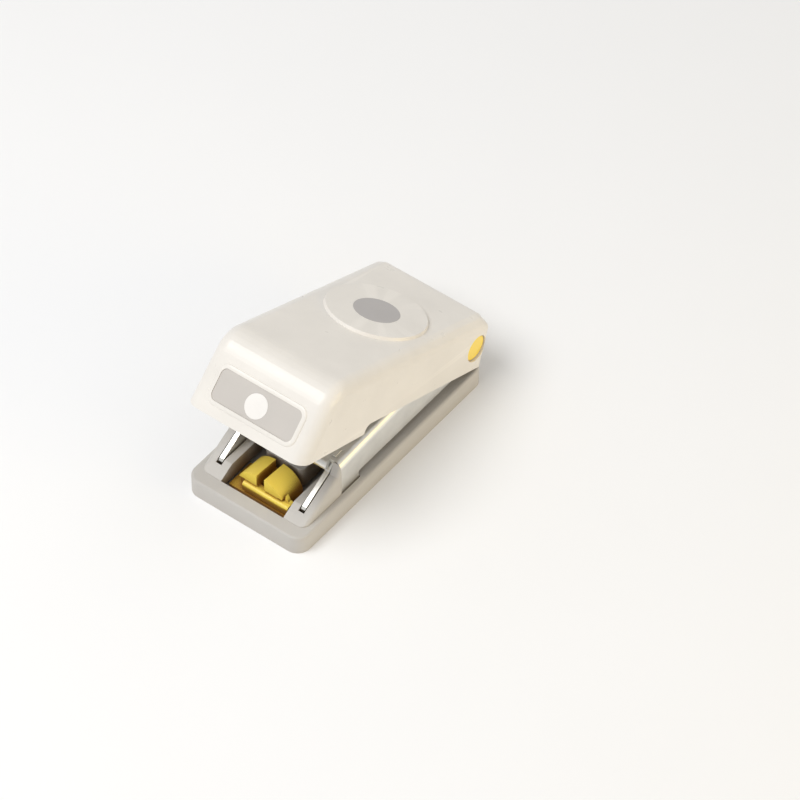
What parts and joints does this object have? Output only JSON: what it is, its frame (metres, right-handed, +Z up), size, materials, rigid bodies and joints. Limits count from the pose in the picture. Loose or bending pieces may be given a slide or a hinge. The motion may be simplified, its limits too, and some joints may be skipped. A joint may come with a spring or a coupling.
{
  "type": "lever craft hole punch",
  "caption": "Compact lever hole punch for card: plastic base and lever, steel throat frame, round punch and die, return spring and a sliding lever catch.",
  "frame": {"origin": "centre of the bounding box at the table plane", "axes": "+X to the right seen from the label end, +Y from the label end towards the pivot, +Z up"},
  "size_m": [0.048, 0.103, 0.0597],
  "materials": {
    "grey_plastic": "moulded warm light grey plastic",
    "grey_plastic_dark": "moulded grey plastic cover",
    "ivory_plastic": "moulded ivory plastic, semi-gloss",
    "yellow_plastic": "moulded yellow plastic",
    "label_film": "pale warm film set in a recess",
    "button_plastic": "white plastic disc",
    "dot_film": "grey printed disc",
    "zinc_steel": "zinc-plated pressed steel sheet",
    "ground_steel": "ground tool steel",
    "screw_steel": "small steel screws",
    "rivet_steel": "plain steel pin and rivets",
    "spring_steel": "drawn spring wire"
  },
  "bodies": {
    "base": {"base_body": "grey_plastic", "bottom_cover": "grey_plastic_dark", "bottom_screws": "screw_steel", "lower_frame": "zinc_steel", "upper_frame": "zinc_steel", "frame_rivets": "rivet_steel", "die_plate": "ground_steel", "die_screws": "screw_steel", "guide_block": "ground_steel", "guide_screws": "screw_steel", "return_spring": "spring_steel"},
    "lever": {"lever_shell": "ivory_plastic", "label_plate": "label_film", "label_button": "button_plastic", "top_dot": "dot_film", "pivot_pin": "rivet_steel", "pivot_caps": "yellow_plastic", "press_plate": "zinc_steel", "press_screws": "screw_steel", "catch_blade": "zinc_steel", "catch_screw": "screw_steel"},
    "plunger": {"punch": "ground_steel", "punch_head": "ground_steel", "head_screw": "screw_steel"},
    "catch": {"catch_slider": "yellow_plastic"}
  },
  "joints": [
    {"name": "lever_pivot", "type": "hinge", "parent": "base", "child": "lever", "pos_m": [0, 0.04348, 0.0184], "axis": [1, 0, 0], "range_deg": [0, 20.5], "stiffness_Nm_per_rad": 1, "springref_deg": -6.88},
    {"name": "punch_slide", "type": "slide", "parent": "base", "child": "plunger", "axis": [0, 0, -1], "range_m": [0, 0.0125], "deforming": ["return_spring"]},
    {"name": "catch_slide", "type": "slide", "parent": "base", "child": "catch", "axis": [0, -1, 0], "range_m": [0, 0.0028]}
  ],
  "couplings": [
    {"joint": "punch_slide", "follows": "lever_pivot", "m_per_rad": 0.03493}
  ]
}
